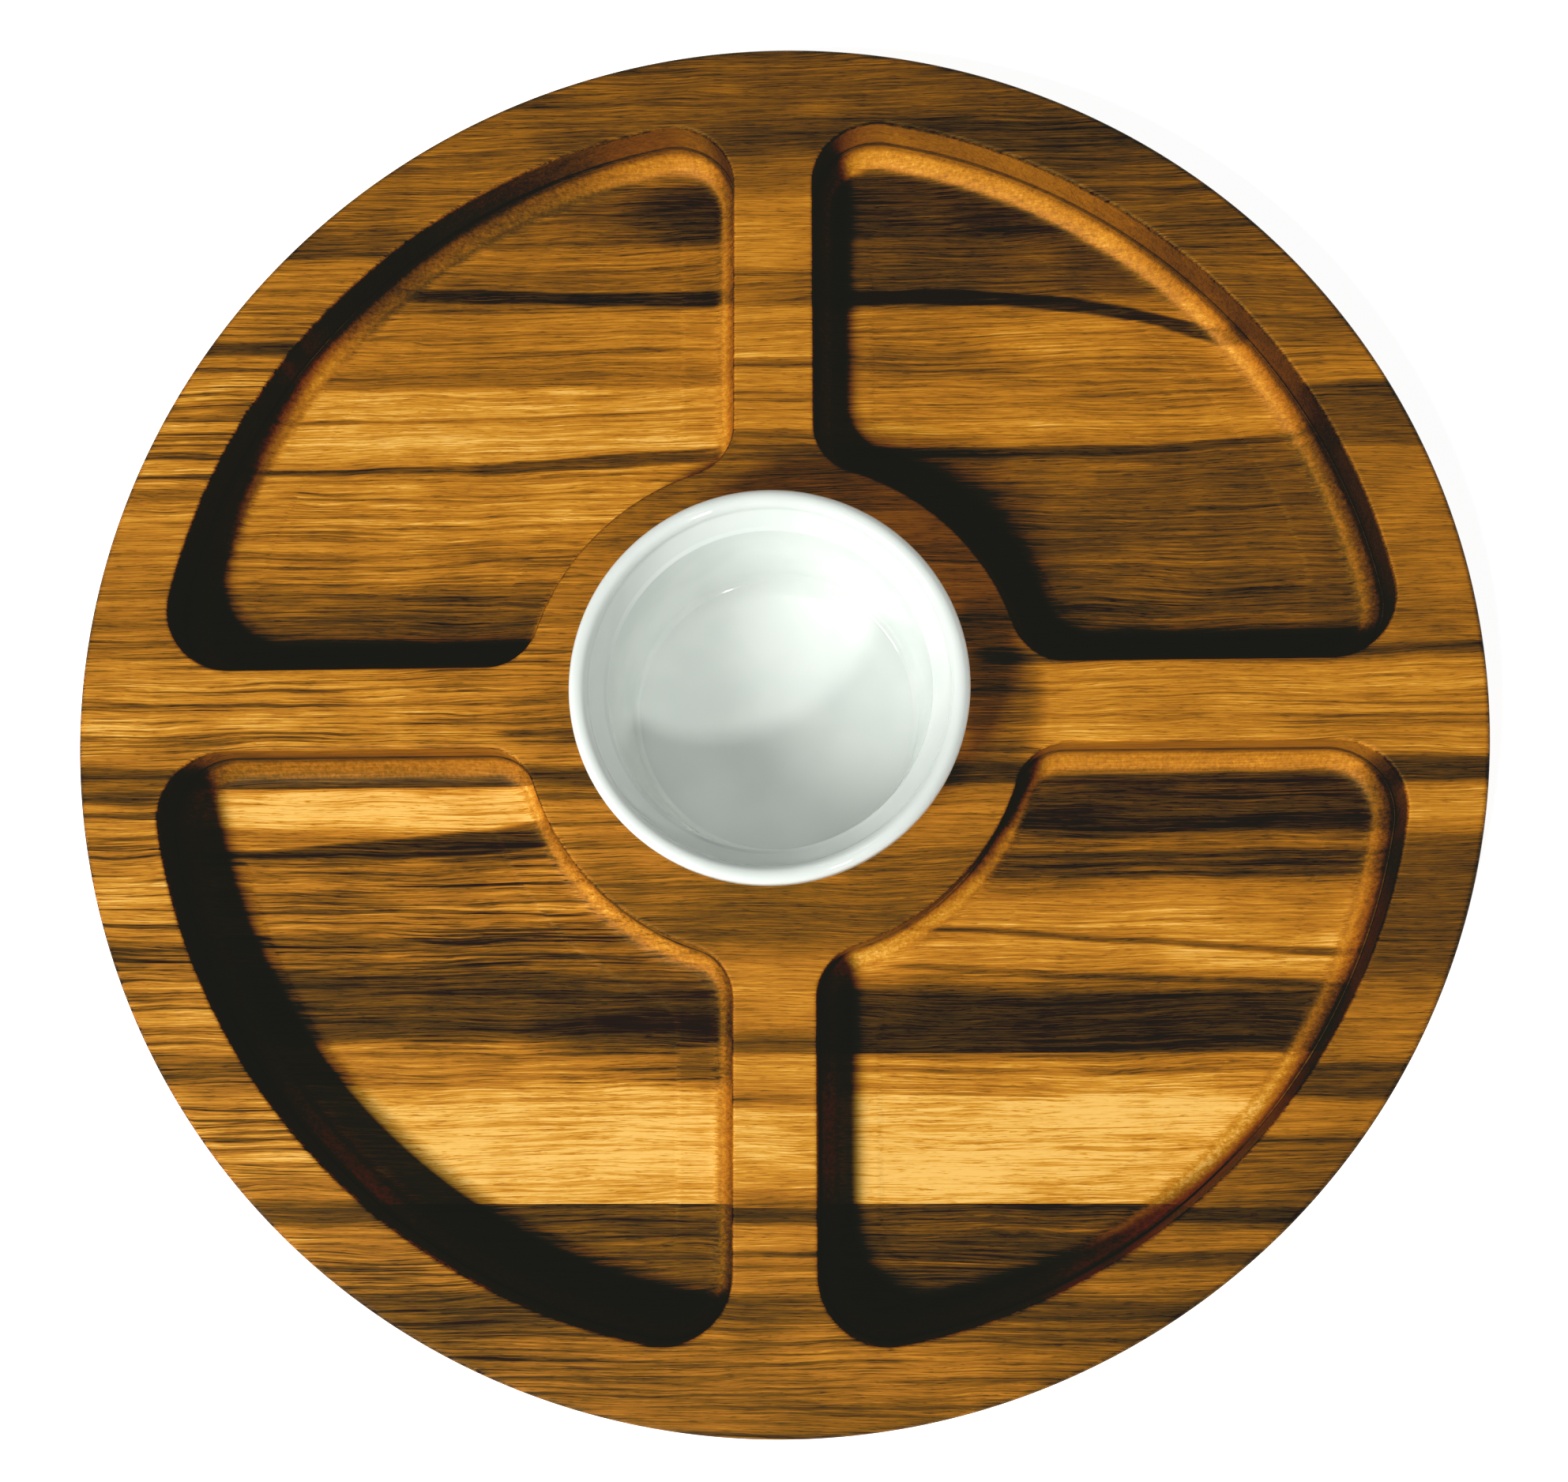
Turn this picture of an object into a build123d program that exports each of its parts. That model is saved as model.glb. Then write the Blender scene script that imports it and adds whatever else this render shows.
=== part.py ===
from build123d import *
import os

# Chip and dip server: a round hardwood tray with four coved compartments and a loose glazed bowl.
#
# The tray is an edge-glued blank of seven staves whose grain runs along X. The blank is routed as one
# piece and then parted along its glue lines, so every stave keeps its share of each compartment.
# The origin is the middle of the underside, +Z is up and -Y is the side nearest the person served.

# Tray blank
tray_diameter = 330.0
tray_thickness = 25.0
top_edge_bevel = 1.2
bottom_edge_round = 2.5

# Glue lines between the staves, from the far edge to the near edge
glue_lines = [85.0, 13.0, -16.3, -80.5, -115.0, -136.0]
stave_names = [
    "far_edge_stave",
    "far_inner_stave",
    "centre_stave",
    "near_inner_stave",
    "near_middle_stave",
    "near_narrow_stave",
    "near_edge_stave",
]

# Compartments: four equal quadrants between a rim, a cross of two spokes and a centre ring
rim_inner_radius = 147.4
ring_outer_radius = 59.4
spoke_width = 19.5
rim_corner_radius = 15.5
ring_corner_radius = 12.5
least_corner_radius = 9.0
compartment_depth = 18.0
cove_radius = 6.35
cove_inset = 0.3
pocket_edge_bevel = 0.7

# The last pass of the cutter leaves the floor a touch lower inside its own radius
cutter_mark_inset = 13.2
cutter_mark_depth = 0.2

# Round recess in the centre ring, where the bowl stands
recess_diameter = 83.0
recess_depth = 18.0
recess_floor_round = 2.0

# Bowl
bowl_rim_diameter = 89.6
bowl_height = 43.0
bowl_body_diameter = 81.5
bowl_floor_thickness = 5.0
bowl_floor_radius = 31.4
bowl_ledge_radius = 36.6
bowl_foot_outer_radius = 34.0
bowl_foot_inner_radius = 30.5
bowl_foot_height = 1.3
bowl_lip_width = 4.3

tray_radius = tray_diameter / 2
tray_top = tray_thickness
compartment_floor = tray_top - compartment_depth
recess_floor = tray_top - recess_depth
quadrants = [(1, 1), (-1, 1), (-1, -1), (1, -1)]


def compartment_outline(inset):
    """Plan of the +X +Y compartment, moved in from its top edge by inset."""
    outer_radius = rim_inner_radius - inset
    ring_radius = ring_outer_radius + inset
    start = spoke_width / 2 + inset
    quarter = Rectangle(tray_diameter, tray_diameter, align=(Align.MIN, Align.MIN))
    sector = (Circle(outer_radius) - Circle(ring_radius)) & Pos(start, start) * quarter
    middle_radius = (outer_radius + ring_radius) / 2
    rim_corners = [v for v in sector.vertices() if Vector(*v).length > middle_radius]
    sector = fillet(rim_corners, max(rim_corner_radius - inset, least_corner_radius))
    ring_corners = [v for v in sector.vertices() if Vector(*v).length < ring_radius + 0.01]
    return fillet(ring_corners, max(ring_corner_radius - inset, least_corner_radius))


def compartment_cutter():
    """What the router takes out of the +X +Y quadrant."""
    wall_depth = compartment_depth - cove_radius
    wall = Pos(0, 0, tray_top - wall_depth) * extrude(compartment_outline(0), wall_depth)
    coved = extrude(compartment_outline(cove_inset), compartment_depth)
    coved = fillet(coved.faces().sort_by(Axis.Z)[0].edges(), cove_radius)
    coved = Pos(0, 0, compartment_floor) * coved
    mark = extrude(compartment_outline(cutter_mark_inset), cutter_mark_depth + cove_radius)
    mark = Pos(0, 0, compartment_floor - cutter_mark_depth) * mark
    return wall + coved + mark


def recess_cutter():
    """The round seat of the bowl."""
    seat = extrude(Circle(recess_diameter / 2), recess_depth)
    seat = fillet(seat.faces().sort_by(Axis.Z)[0].edges(), recess_floor_round)
    return Pos(0, 0, recess_floor) * seat


def routed_blank():
    """The whole tray as one piece, before it is parted along its glue lines."""
    blank = extrude(Circle(tray_radius), tray_thickness)
    blank = chamfer(blank.faces().sort_by(Axis.Z)[-1].edges(), top_edge_bevel)
    blank = fillet(blank.faces().sort_by(Axis.Z)[0].edges(), bottom_edge_round)
    cutter = compartment_cutter()
    for sign_x, sign_y in quadrants:
        quadrant = cutter
        if sign_x < 0:
            quadrant = mirror(quadrant, about=Plane.YZ)
        if sign_y < 0:
            quadrant = mirror(quadrant, about=Plane.XZ)
        blank -= quadrant
    blank -= recess_cutter()
    mouths = blank.faces().filter_by(Plane.XY).sort_by(Axis.Z)[-1].inner_wires().edges()
    return chamfer(mouths, pocket_edge_bevel)


def stave(blank, near_y, far_y):
    """The part of the blank between two glue lines."""
    slab = Box(
        tray_diameter + 1,
        far_y - near_y,
        tray_thickness + 1,
        align=(Align.CENTER, Align.MIN, Align.MIN),
    )
    return blank & Pos(0, near_y, -0.5) * slab


def bowl():
    """Straight-sided glazed bowl with a rolled lip, a shoulder inside the lip and a foot ring."""
    rim = bowl_rim_diameter / 2
    body = bowl_body_diameter / 2
    lip_middle = rim - bowl_lip_width / 2
    lip_round = bowl_lip_width / 2 - 0.1
    corners = [
        # (radius from the axis, height above the foot, corner round)
        (0.0, bowl_floor_thickness, None),
        (bowl_floor_radius + 2.6, bowl_floor_thickness, 4.0),
        (bowl_ledge_radius, bowl_height - 6.6, 0.5),
        (bowl_ledge_radius + 0.9, bowl_height - 6.0, 0.8),
        (rim - bowl_lip_width, bowl_height - 2.6, 1.5),
        (rim - bowl_lip_width + 0.3, bowl_height, lip_round),
        (rim, bowl_height, lip_round),
        (rim, bowl_height - 5.4, 1.6),
        (body, bowl_height - 8.2, 2.0),
        (body - 1.1, 1.2, 5.0),
        (bowl_foot_outer_radius + 0.6, 1.2, 0.5),
        (bowl_foot_outer_radius, 0.0, 0.6),
        (bowl_foot_inner_radius, 0.0, 0.6),
        (bowl_foot_inner_radius - 1.2, bowl_foot_height, 0.6),
        (0.0, bowl_foot_height, None),
    ]
    path = FilletPolyline(
        [(radius, height) for radius, height, _ in corners],
        radius=[corner_round for _, _, corner_round in corners[1:-1]],
    )
    section = make_face([*path.edges(), Line(path @ 1, path @ 0)])
    turned = revolve(Plane.XZ * section, Axis.Z)
    return Pos(0, 0, recess_floor) * turned


def main():
    os.makedirs("parts", exist_ok=True)
    blank = routed_blank()
    bounds = [tray_radius + 1, *glue_lines, -tray_radius - 1]
    for name, far_y, near_y in zip(stave_names, bounds, bounds[1:]):
        export_step(stave(blank, near_y, far_y), f"parts/{name}.step")
    export_step(bowl(), "parts/dip_bowl.step")


main()
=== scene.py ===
"""Looks of the chip and dip server: wooden staves, a glazed bowl, studio light and the camera."""

import math

import bmesh
import bpy
from mathutils import Euler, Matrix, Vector


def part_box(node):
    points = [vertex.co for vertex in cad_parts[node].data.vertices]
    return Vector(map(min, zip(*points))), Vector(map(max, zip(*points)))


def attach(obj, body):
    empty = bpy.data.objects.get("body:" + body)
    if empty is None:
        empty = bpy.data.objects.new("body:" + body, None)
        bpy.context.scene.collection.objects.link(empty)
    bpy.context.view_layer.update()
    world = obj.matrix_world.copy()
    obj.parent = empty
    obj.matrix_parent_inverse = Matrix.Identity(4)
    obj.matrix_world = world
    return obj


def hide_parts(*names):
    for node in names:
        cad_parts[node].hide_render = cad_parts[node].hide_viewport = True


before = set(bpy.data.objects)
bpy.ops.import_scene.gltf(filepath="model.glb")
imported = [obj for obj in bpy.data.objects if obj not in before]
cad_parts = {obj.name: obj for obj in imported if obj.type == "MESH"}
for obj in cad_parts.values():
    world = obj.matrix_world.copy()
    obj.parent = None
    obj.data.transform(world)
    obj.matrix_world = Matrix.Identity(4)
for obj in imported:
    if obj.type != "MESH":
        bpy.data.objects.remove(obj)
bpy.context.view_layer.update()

MM = 0.001

# ---------------------------------------------------------------- sizes
# Millimetres in the row frame; what the frame can tell is read from it.

tray_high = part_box("centre_stave")[1]
bowl_low, bowl_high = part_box("dip_bowl")
TRAY_RADIUS = tray_high.x / MM
TRAY_TOP = tray_high.z / MM
BOWL_FOOT = bowl_low.z / MM
BOWL_RIM = bowl_high.x / MM
BOWL_HEIGHT = (bowl_high.z - bowl_low.z) / MM

POCKET_FLOOR = 7.0
RIM_INNER = 147.4
RING_OUTER = 59.4
SPOKE_HALF = 9.75
RIM_CORNER = 15.5
RING_CORNER = 12.5
LEAST_CORNER = 9.0
COVE_RADIUS = 6.35
COVE_INSET = 0.3
COVE_TOP = POCKET_FLOOR + COVE_RADIUS
CUTTER_MARK_INSET = 13.2
CUTTER_MARK_DEPTH = 0.2
CUTTER_MARK_SLOPE = 1.4
RECESS_RADIUS = 41.5
RECESS_ROUND = 2.0
MOUTH_ROUND = 0.9
TOP_EDGE_ROUND = 1.3
BOTTOM_EDGE_ROUND = 2.5
# A narrow flat strip beside each round keeps the shading of the large flat faces flat
GUARD = 0.25
# A stave's side that comes nearer than this to the tray's edge is that edge, not a glue line
EDGE_MARGIN = 1.0

BOWL_FLOOR = 5.0
BOWL_FLOOR_RADIUS = 33.0
BOWL_BODY_RADIUS = 40.75
BOWL_LEDGE_RADIUS = 36.6
BOWL_LIP_WIDTH = 4.3
BOWL_LIP_ROUND = 2.05
BOWL_FOOT_RADIUS = 34.0
BOWL_FOOT_HEIGHT = 1.3

QUADRANTS = [(1, 1), (-1, 1), (-1, -1), (1, -1)]

# Steps along half a compartment's outline, from the ring to the rim
RING_STEPS = 22
RING_CORNER_STEPS = 16
SIDE_STEPS = 24
RIM_CORNER_STEPS = 22
RIM_STEPS = 64
# Steps all the way round
TRAY_STEPS = 720
RECESS_STEPS = 360
BOWL_STEPS = 240
# Steps over the quarter rounds
MOUTH_STEPS = 6
COVE_STEPS = 14
EDGE_STEPS = 8
# Degrees: each step of the bowl's rounds, and the fold that shows as an edge
BOWL_ROUND_STEP = 9
SHARP_ANGLE = 32

# Directions in a section of (inset, height)
INWARD = 0
UP = math.pi / 2
OUTWARD = math.pi
DOWN = 1.5 * math.pi


# ---------------------------------------------------------------- mesh helpers

def arc(centre, radius, start, end, steps):
    """Points on an arc from start to end, in radians, both ends included."""
    angles = [start + (end - start) * step / steps for step in range(steps + 1)]
    return [(centre[0] + radius * math.cos(a), centre[1] + radius * math.sin(a)) for a in angles]


def circle_outline(radius, steps):
    return arc((0, 0), radius, 0, 2 * math.pi, steps)[:-1]


def compartment_outline(inset):
    """The +X +Y compartment's outline moved in by inset, with matching points at every inset."""
    rim = RIM_INNER - inset
    ring = RING_OUTER + inset
    side = SPOKE_HALF + inset
    rim_round = max(RIM_CORNER - inset, LEAST_CORNER)
    ring_round = max(RING_CORNER - inset, LEAST_CORNER)
    rim_x = side + rim_round
    ring_x = side + ring_round
    rim_centre = (rim_x, math.sqrt((rim - rim_round) ** 2 - rim_x ** 2))
    ring_centre = (ring_x, math.sqrt((ring + ring_round) ** 2 - ring_x ** 2))
    rim_angle = math.atan2(rim_centre[1], rim_centre[0])
    ring_angle = math.atan2(ring_centre[1], ring_centre[0])
    middle = math.pi / 4
    half = arc((0, 0), ring, middle, ring_angle, RING_STEPS)[:-1]
    half += arc(ring_centre, ring_round, ring_angle + math.pi, math.pi, RING_CORNER_STEPS)
    low, high = half[-1][1], rim_centre[1]
    half += [(side, low + (high - low) * step / SIDE_STEPS) for step in range(1, SIDE_STEPS)]
    half += arc(rim_centre, rim_round, math.pi, rim_angle, RIM_CORNER_STEPS)
    half += arc((0, 0), rim, rim_angle, middle, RIM_STEPS)[1:]
    return half + [(y, x) for x, y in half[-2:0:-1]]


def mouth_levels():
    """(inset, height) from the flat top over the rounded mouth of a pocket to its upright wall."""
    levels = [(-MOUTH_ROUND - GUARD, TRAY_TOP)]
    levels += arc((-MOUTH_ROUND, TRAY_TOP - MOUTH_ROUND), MOUTH_ROUND, UP, INWARD, MOUTH_STEPS)
    levels.append((0, TRAY_TOP - MOUTH_ROUND - GUARD))
    return levels


def compartment_levels():
    """(inset, height) down a compartment: mouth, wall, tiny ledge, cove, floor, cutter mark."""
    levels = mouth_levels()
    levels += [(0, COVE_TOP + GUARD), (0, COVE_TOP)]
    centre = (COVE_INSET + COVE_RADIUS, COVE_TOP)
    levels += arc(centre, COVE_RADIUS, OUTWARD, DOWN, COVE_STEPS)
    levels.append((centre[0] + GUARD, POCKET_FLOOR))
    slope = CUTTER_MARK_SLOPE
    for inset, drop in ((-GUARD, 0), (0, 0), (slope / 2, 0.4), (slope, 1), (slope + GUARD, 1)):
        levels.append((CUTTER_MARK_INSET + inset, POCKET_FLOOR - drop * CUTTER_MARK_DEPTH))
    return levels


def recess_levels():
    """(inset, height) down the round recess under the bowl."""
    bottom = POCKET_FLOOR + RECESS_ROUND
    levels = mouth_levels()
    levels.append((0, bottom + GUARD))
    levels += arc((RECESS_ROUND, bottom), RECESS_ROUND, OUTWARD, DOWN, EDGE_STEPS)
    levels.append((RECESS_ROUND + GUARD, POCKET_FLOOR))
    return levels


def outer_levels():
    """(inset, height) from the flat top over the outer edge and down to the flat underside."""
    top, bottom = TOP_EDGE_ROUND, BOTTOM_EDGE_ROUND
    levels = [(top + GUARD, TRAY_TOP)]
    levels += arc((top, TRAY_TOP - top), top, UP, OUTWARD, EDGE_STEPS)
    levels += [(0, TRAY_TOP - top - GUARD), (0, bottom + GUARD)]
    levels += arc((bottom, bottom), bottom, OUTWARD, DOWN, EDGE_STEPS)
    levels.append((bottom + GUARD, 0))
    return levels


def at_levels(outline, levels):
    """The outline at each (inset, height), as rings of (x, y, z)."""
    return [[(x, y, z) for x, y in outline(inset)] for inset, z in levels]


def loft(bm, loops):
    """Joins rings of points, in millimetres, with quads; returns the rings of vertices."""
    rings = [[bm.verts.new((x * MM, y * MM, z * MM)) for x, y, z in loop] for loop in loops]
    for upper, lower in zip(rings, rings[1:]):
        for i in range(len(upper)):
            j = (i + 1) % len(upper)
            bm.faces.new((upper[i], upper[j], lower[j], lower[i]))
    return rings


def ring_edges(bm, ring):
    return [bm.edges.get(ends) or bm.edges.new(ends) for ends in zip(ring, ring[1:] + ring[:1])]


def fill(bm, *rings):
    """Closes the flat face between rings of vertices."""
    edges = [edge for ring in rings for edge in ring_edges(bm, ring)]
    bmesh.ops.triangle_fill(bm, use_beauty=True, edges=edges)


def new_object(name, bm):
    mesh = bpy.data.meshes.new(name)
    bm.to_mesh(mesh)
    bm.free()
    mesh.shade_smooth()
    mesh.set_sharp_from_angle(angle=math.radians(SHARP_ANGLE))
    piece = bpy.data.objects.new(name, mesh)
    bpy.context.scene.collection.objects.link(piece)
    return piece


# ---------------------------------------------------------------- tray meshes

def routed_tray():
    """The whole tray as one closed mesh, with rounded edges and coved compartments."""
    bm = bmesh.new()
    outer = at_levels(lambda inset: circle_outline(TRAY_RADIUS - inset, TRAY_STEPS), outer_levels())
    outer_rings = loft(bm, outer)
    recess = at_levels(lambda inset: circle_outline(RECESS_RADIUS - inset, RECESS_STEPS),
                       recess_levels())
    recess_rings = loft(bm, recess)
    mouths = [recess_rings[0]]
    fill(bm, recess_rings[-1])
    pocket = at_levels(compartment_outline, compartment_levels())
    for sign_x, sign_y in QUADRANTS:
        rings = loft(bm, [[(x * sign_x, y * sign_y, z) for x, y, z in loop] for loop in pocket])
        mouths.append(rings[0])
        fill(bm, rings[-1])
    fill(bm, outer_rings[-1])
    fill(bm, outer_rings[0], *mouths)
    bmesh.ops.recalc_face_normals(bm, faces=bm.faces)
    return bm


def cut(bm, y, keep_far):
    """Cuts the mesh at a glue line, keeps one side and closes it with a flat face."""
    side = -1 if keep_far else 1
    bmesh.ops.bisect_plane(
        bm, geom=[*bm.verts, *bm.edges, *bm.faces], dist=1e-7,
        plane_co=(0, y, 0), plane_no=(0, side, 0), clear_outer=True)
    open_edges = [edge for edge in bm.edges if edge.is_boundary]
    bmesh.ops.triangle_fill(bm, use_beauty=True, edges=open_edges)


def is_glue_line(y):
    """Whether a stave ends at y with a glue line, and not with the tray's own edge."""
    return abs(y) / MM < TRAY_RADIUS - EDGE_MARGIN


def stave(name, tray):
    """The part of the tray between the glue lines of one CAD stave."""
    low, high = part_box(name)
    bm = tray.copy()
    if is_glue_line(high.y):
        cut(bm, high.y, keep_far=False)
    if is_glue_line(low.y):
        cut(bm, low.y, keep_far=True)
    bmesh.ops.recalc_face_normals(bm, faces=bm.faces)
    piece = new_object(name.replace("_stave", "_plank"), bm)
    piece.data.materials.append(stave_wood(name, low.y / MM, high.y / MM))
    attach(piece, "tray")
    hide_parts(name)


# ---------------------------------------------------------------- node helper

class Shader:
    """One material and its nodes. What goes in is a socket or a number; sockets come out."""

    def __init__(self, name):
        self.material = bpy.data.materials.new(name)
        self.material.use_nodes = True
        self.tree = self.material.node_tree
        self.surface = self.tree.nodes["Principled BSDF"]

    def node(self, kind, **settings):
        node = self.tree.nodes.new(kind)
        for key, value in settings.items():
            setattr(node, key, value)
        return node

    def put(self, socket, value):
        if isinstance(value, bpy.types.NodeSocket):
            self.tree.links.new(value, socket)
        else:
            socket.default_value = value

    def set(self, name, value):
        """Sets an input of the surface, or links it."""
        self.put(self.surface.inputs[name], value)

    def math(self, operation, *values):
        node = self.node("ShaderNodeMath", operation=operation)
        for socket, value in zip(node.inputs, values):
            self.put(socket, value)
        return node.outputs[0]

    def add(self, *values):
        total = values[0]
        for value in values[1:]:
            total = self.math("ADD", total, value)
        return total

    def less(self, a, b):
        return self.math("SUBTRACT", a, b)

    def times(self, a, b):
        return self.math("MULTIPLY", a, b)

    def swing(self, noise, amount):
        """A noise as a swing about 0, amount from its lowest to its highest."""
        return self.times(self.add(noise, -0.5), amount)

    def past(self, value, start, length):
        """How far value is past start, in lengths."""
        return self.math("DIVIDE", self.less(value, start), length)

    def step(self, value, low, high, out_low=0.0, out_high=1.0):
        """Smooth step from out_low at low to out_high at high."""
        node = self.node("ShaderNodeMapRange", interpolation_type="SMOOTHSTEP")
        for socket, number in zip(node.inputs, (value, low, high, out_low, out_high)):
            self.put(socket, number)
        return node.outputs[0]

    def band(self, value, rise, fall, height=1.0):
        """0, then up to height over the two values of rise, and back to 0 over those of fall."""
        return self.times(self.step(value, *rise, 0, height), self.step(value, *fall, 1, 0))

    def mix(self, factor, a, b):
        node = self.node("ShaderNodeMix", data_type="FLOAT")
        for index, value in ((0, factor), (2, a), (3, b)):
            self.put(node.inputs[index], value)
        return node.outputs[0]

    def mix_colour(self, factor, a, b, blend="MIX"):
        node = self.node("ShaderNodeMix", data_type="RGBA", blend_type=blend)
        for index, value in ((0, factor), (6, a), (7, b)):
            self.put(node.inputs[index], value)
        return node.outputs[2]

    def split(self, vector):
        node = self.node("ShaderNodeSeparateXYZ")
        self.put(node.inputs[0], vector)
        return node.outputs

    def place(self):
        """x, y, z in millimetres in the object's own frame."""
        coordinates = self.node("ShaderNodeTexCoord").outputs["Object"]
        return [self.times(output, 1 / MM) for output in self.split(coordinates)]

    def noise(self, place, scales, seed=0.0, detail=2.0, roughness=0.5):
        """Noise about 0.5 at a place in millimetres; scales are per millimetre along x, y and z."""
        x, y, z = [self.times(value, scale) for value, scale in zip(place, scales)]
        vector = self.node("ShaderNodeCombineXYZ")
        for socket, value in zip(vector.inputs, (x, y, self.add(z, seed))):
            self.put(socket, value)
        node = self.node("ShaderNodeTexNoise")
        self.put(node.inputs["Vector"], vector.outputs[0])
        node.inputs["Scale"].default_value = 1.0
        node.inputs["Detail"].default_value = detail
        node.inputs["Roughness"].default_value = roughness
        return node.outputs[0]

    def ramp(self, value, stops):
        """stops: (position 0 to 1, (r, g, b, a)); returns the colour and the alpha."""
        node = self.node("ShaderNodeValToRGB")
        elements = node.color_ramp.elements
        elements.remove(elements[1])
        for i, (position, colour) in enumerate(sorted(stops)):
            element = elements[0] if i == 0 else elements.new(position)
            element.position = position
            element.color = colour
        self.put(node.inputs[0], value)
        return node.outputs[0], node.outputs[1]

    def bump(self, height, distance, strength):
        node = self.node("ShaderNodeBump")
        node.inputs["Strength"].default_value = strength
        node.inputs["Distance"].default_value = distance
        self.put(node.inputs["Height"], height)
        self.set("Normal", node.outputs[0])


# ---------------------------------------------------------------- print

# The print presses the deepest shadows down to one soft black, red more than the others: for each
# channel, straight runs from light to ink, both linear
PRINT_CURVES = [
    [(0.0, 0.0095), (0.033, 0.0138), (0.09, 0.083), (0.12, 0.12), (1.0, 1.0)],
    [(0.0, 0.0100), (0.018, 0.0135), (0.06, 0.055), (0.10, 0.10), (1.0, 1.0)],
    [(0.0, 0.0080), (0.018, 0.0120), (0.06, 0.055), (0.10, 0.10), (1.0, 1.0)],
]


def before_print(value, curve):
    """The light level that a print curve turns into value."""
    for (light_a, ink_a), (light_b, ink_b) in zip(curve, curve[1:]):
        if value <= ink_b:
            share = max(0.0, (value - ink_a) / (ink_b - ink_a))
            return light_a + share * (light_b - light_a)
    return value


def linear(value):
    """The light level of an sRGB value from 0 to 1."""
    return value / 12.92 if value <= 0.04045 else ((value + 0.055) / 1.055) ** 2.4


def printed(*colour):
    """The surface colour that comes out of the print as this 8-bit sRGB colour, in full light."""
    channels = [before_print(linear(value / 255), curve)
                for value, curve in zip(colour, PRINT_CURVES)]
    return (*channels, 1.0)


# ---------------------------------------------------------------- wood

# Tone of the wood, 0 the blackest streak and 1 the palest gold, as it looks in the finished print
WOOD_TONES = [
    (0.00, (29, 26, 20)),
    (0.12, (42, 35, 24)),
    (0.25, (70, 48, 26)),
    (0.38, (101, 66, 25)),
    (0.50, (133, 84, 26)),
    (0.62, (162, 103, 29)),
    (0.74, (186, 121, 32)),
    (0.86, (208, 144, 45)),
    (0.94, (227, 168, 66)),
    (1.00, (242, 193, 102)),
]

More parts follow.
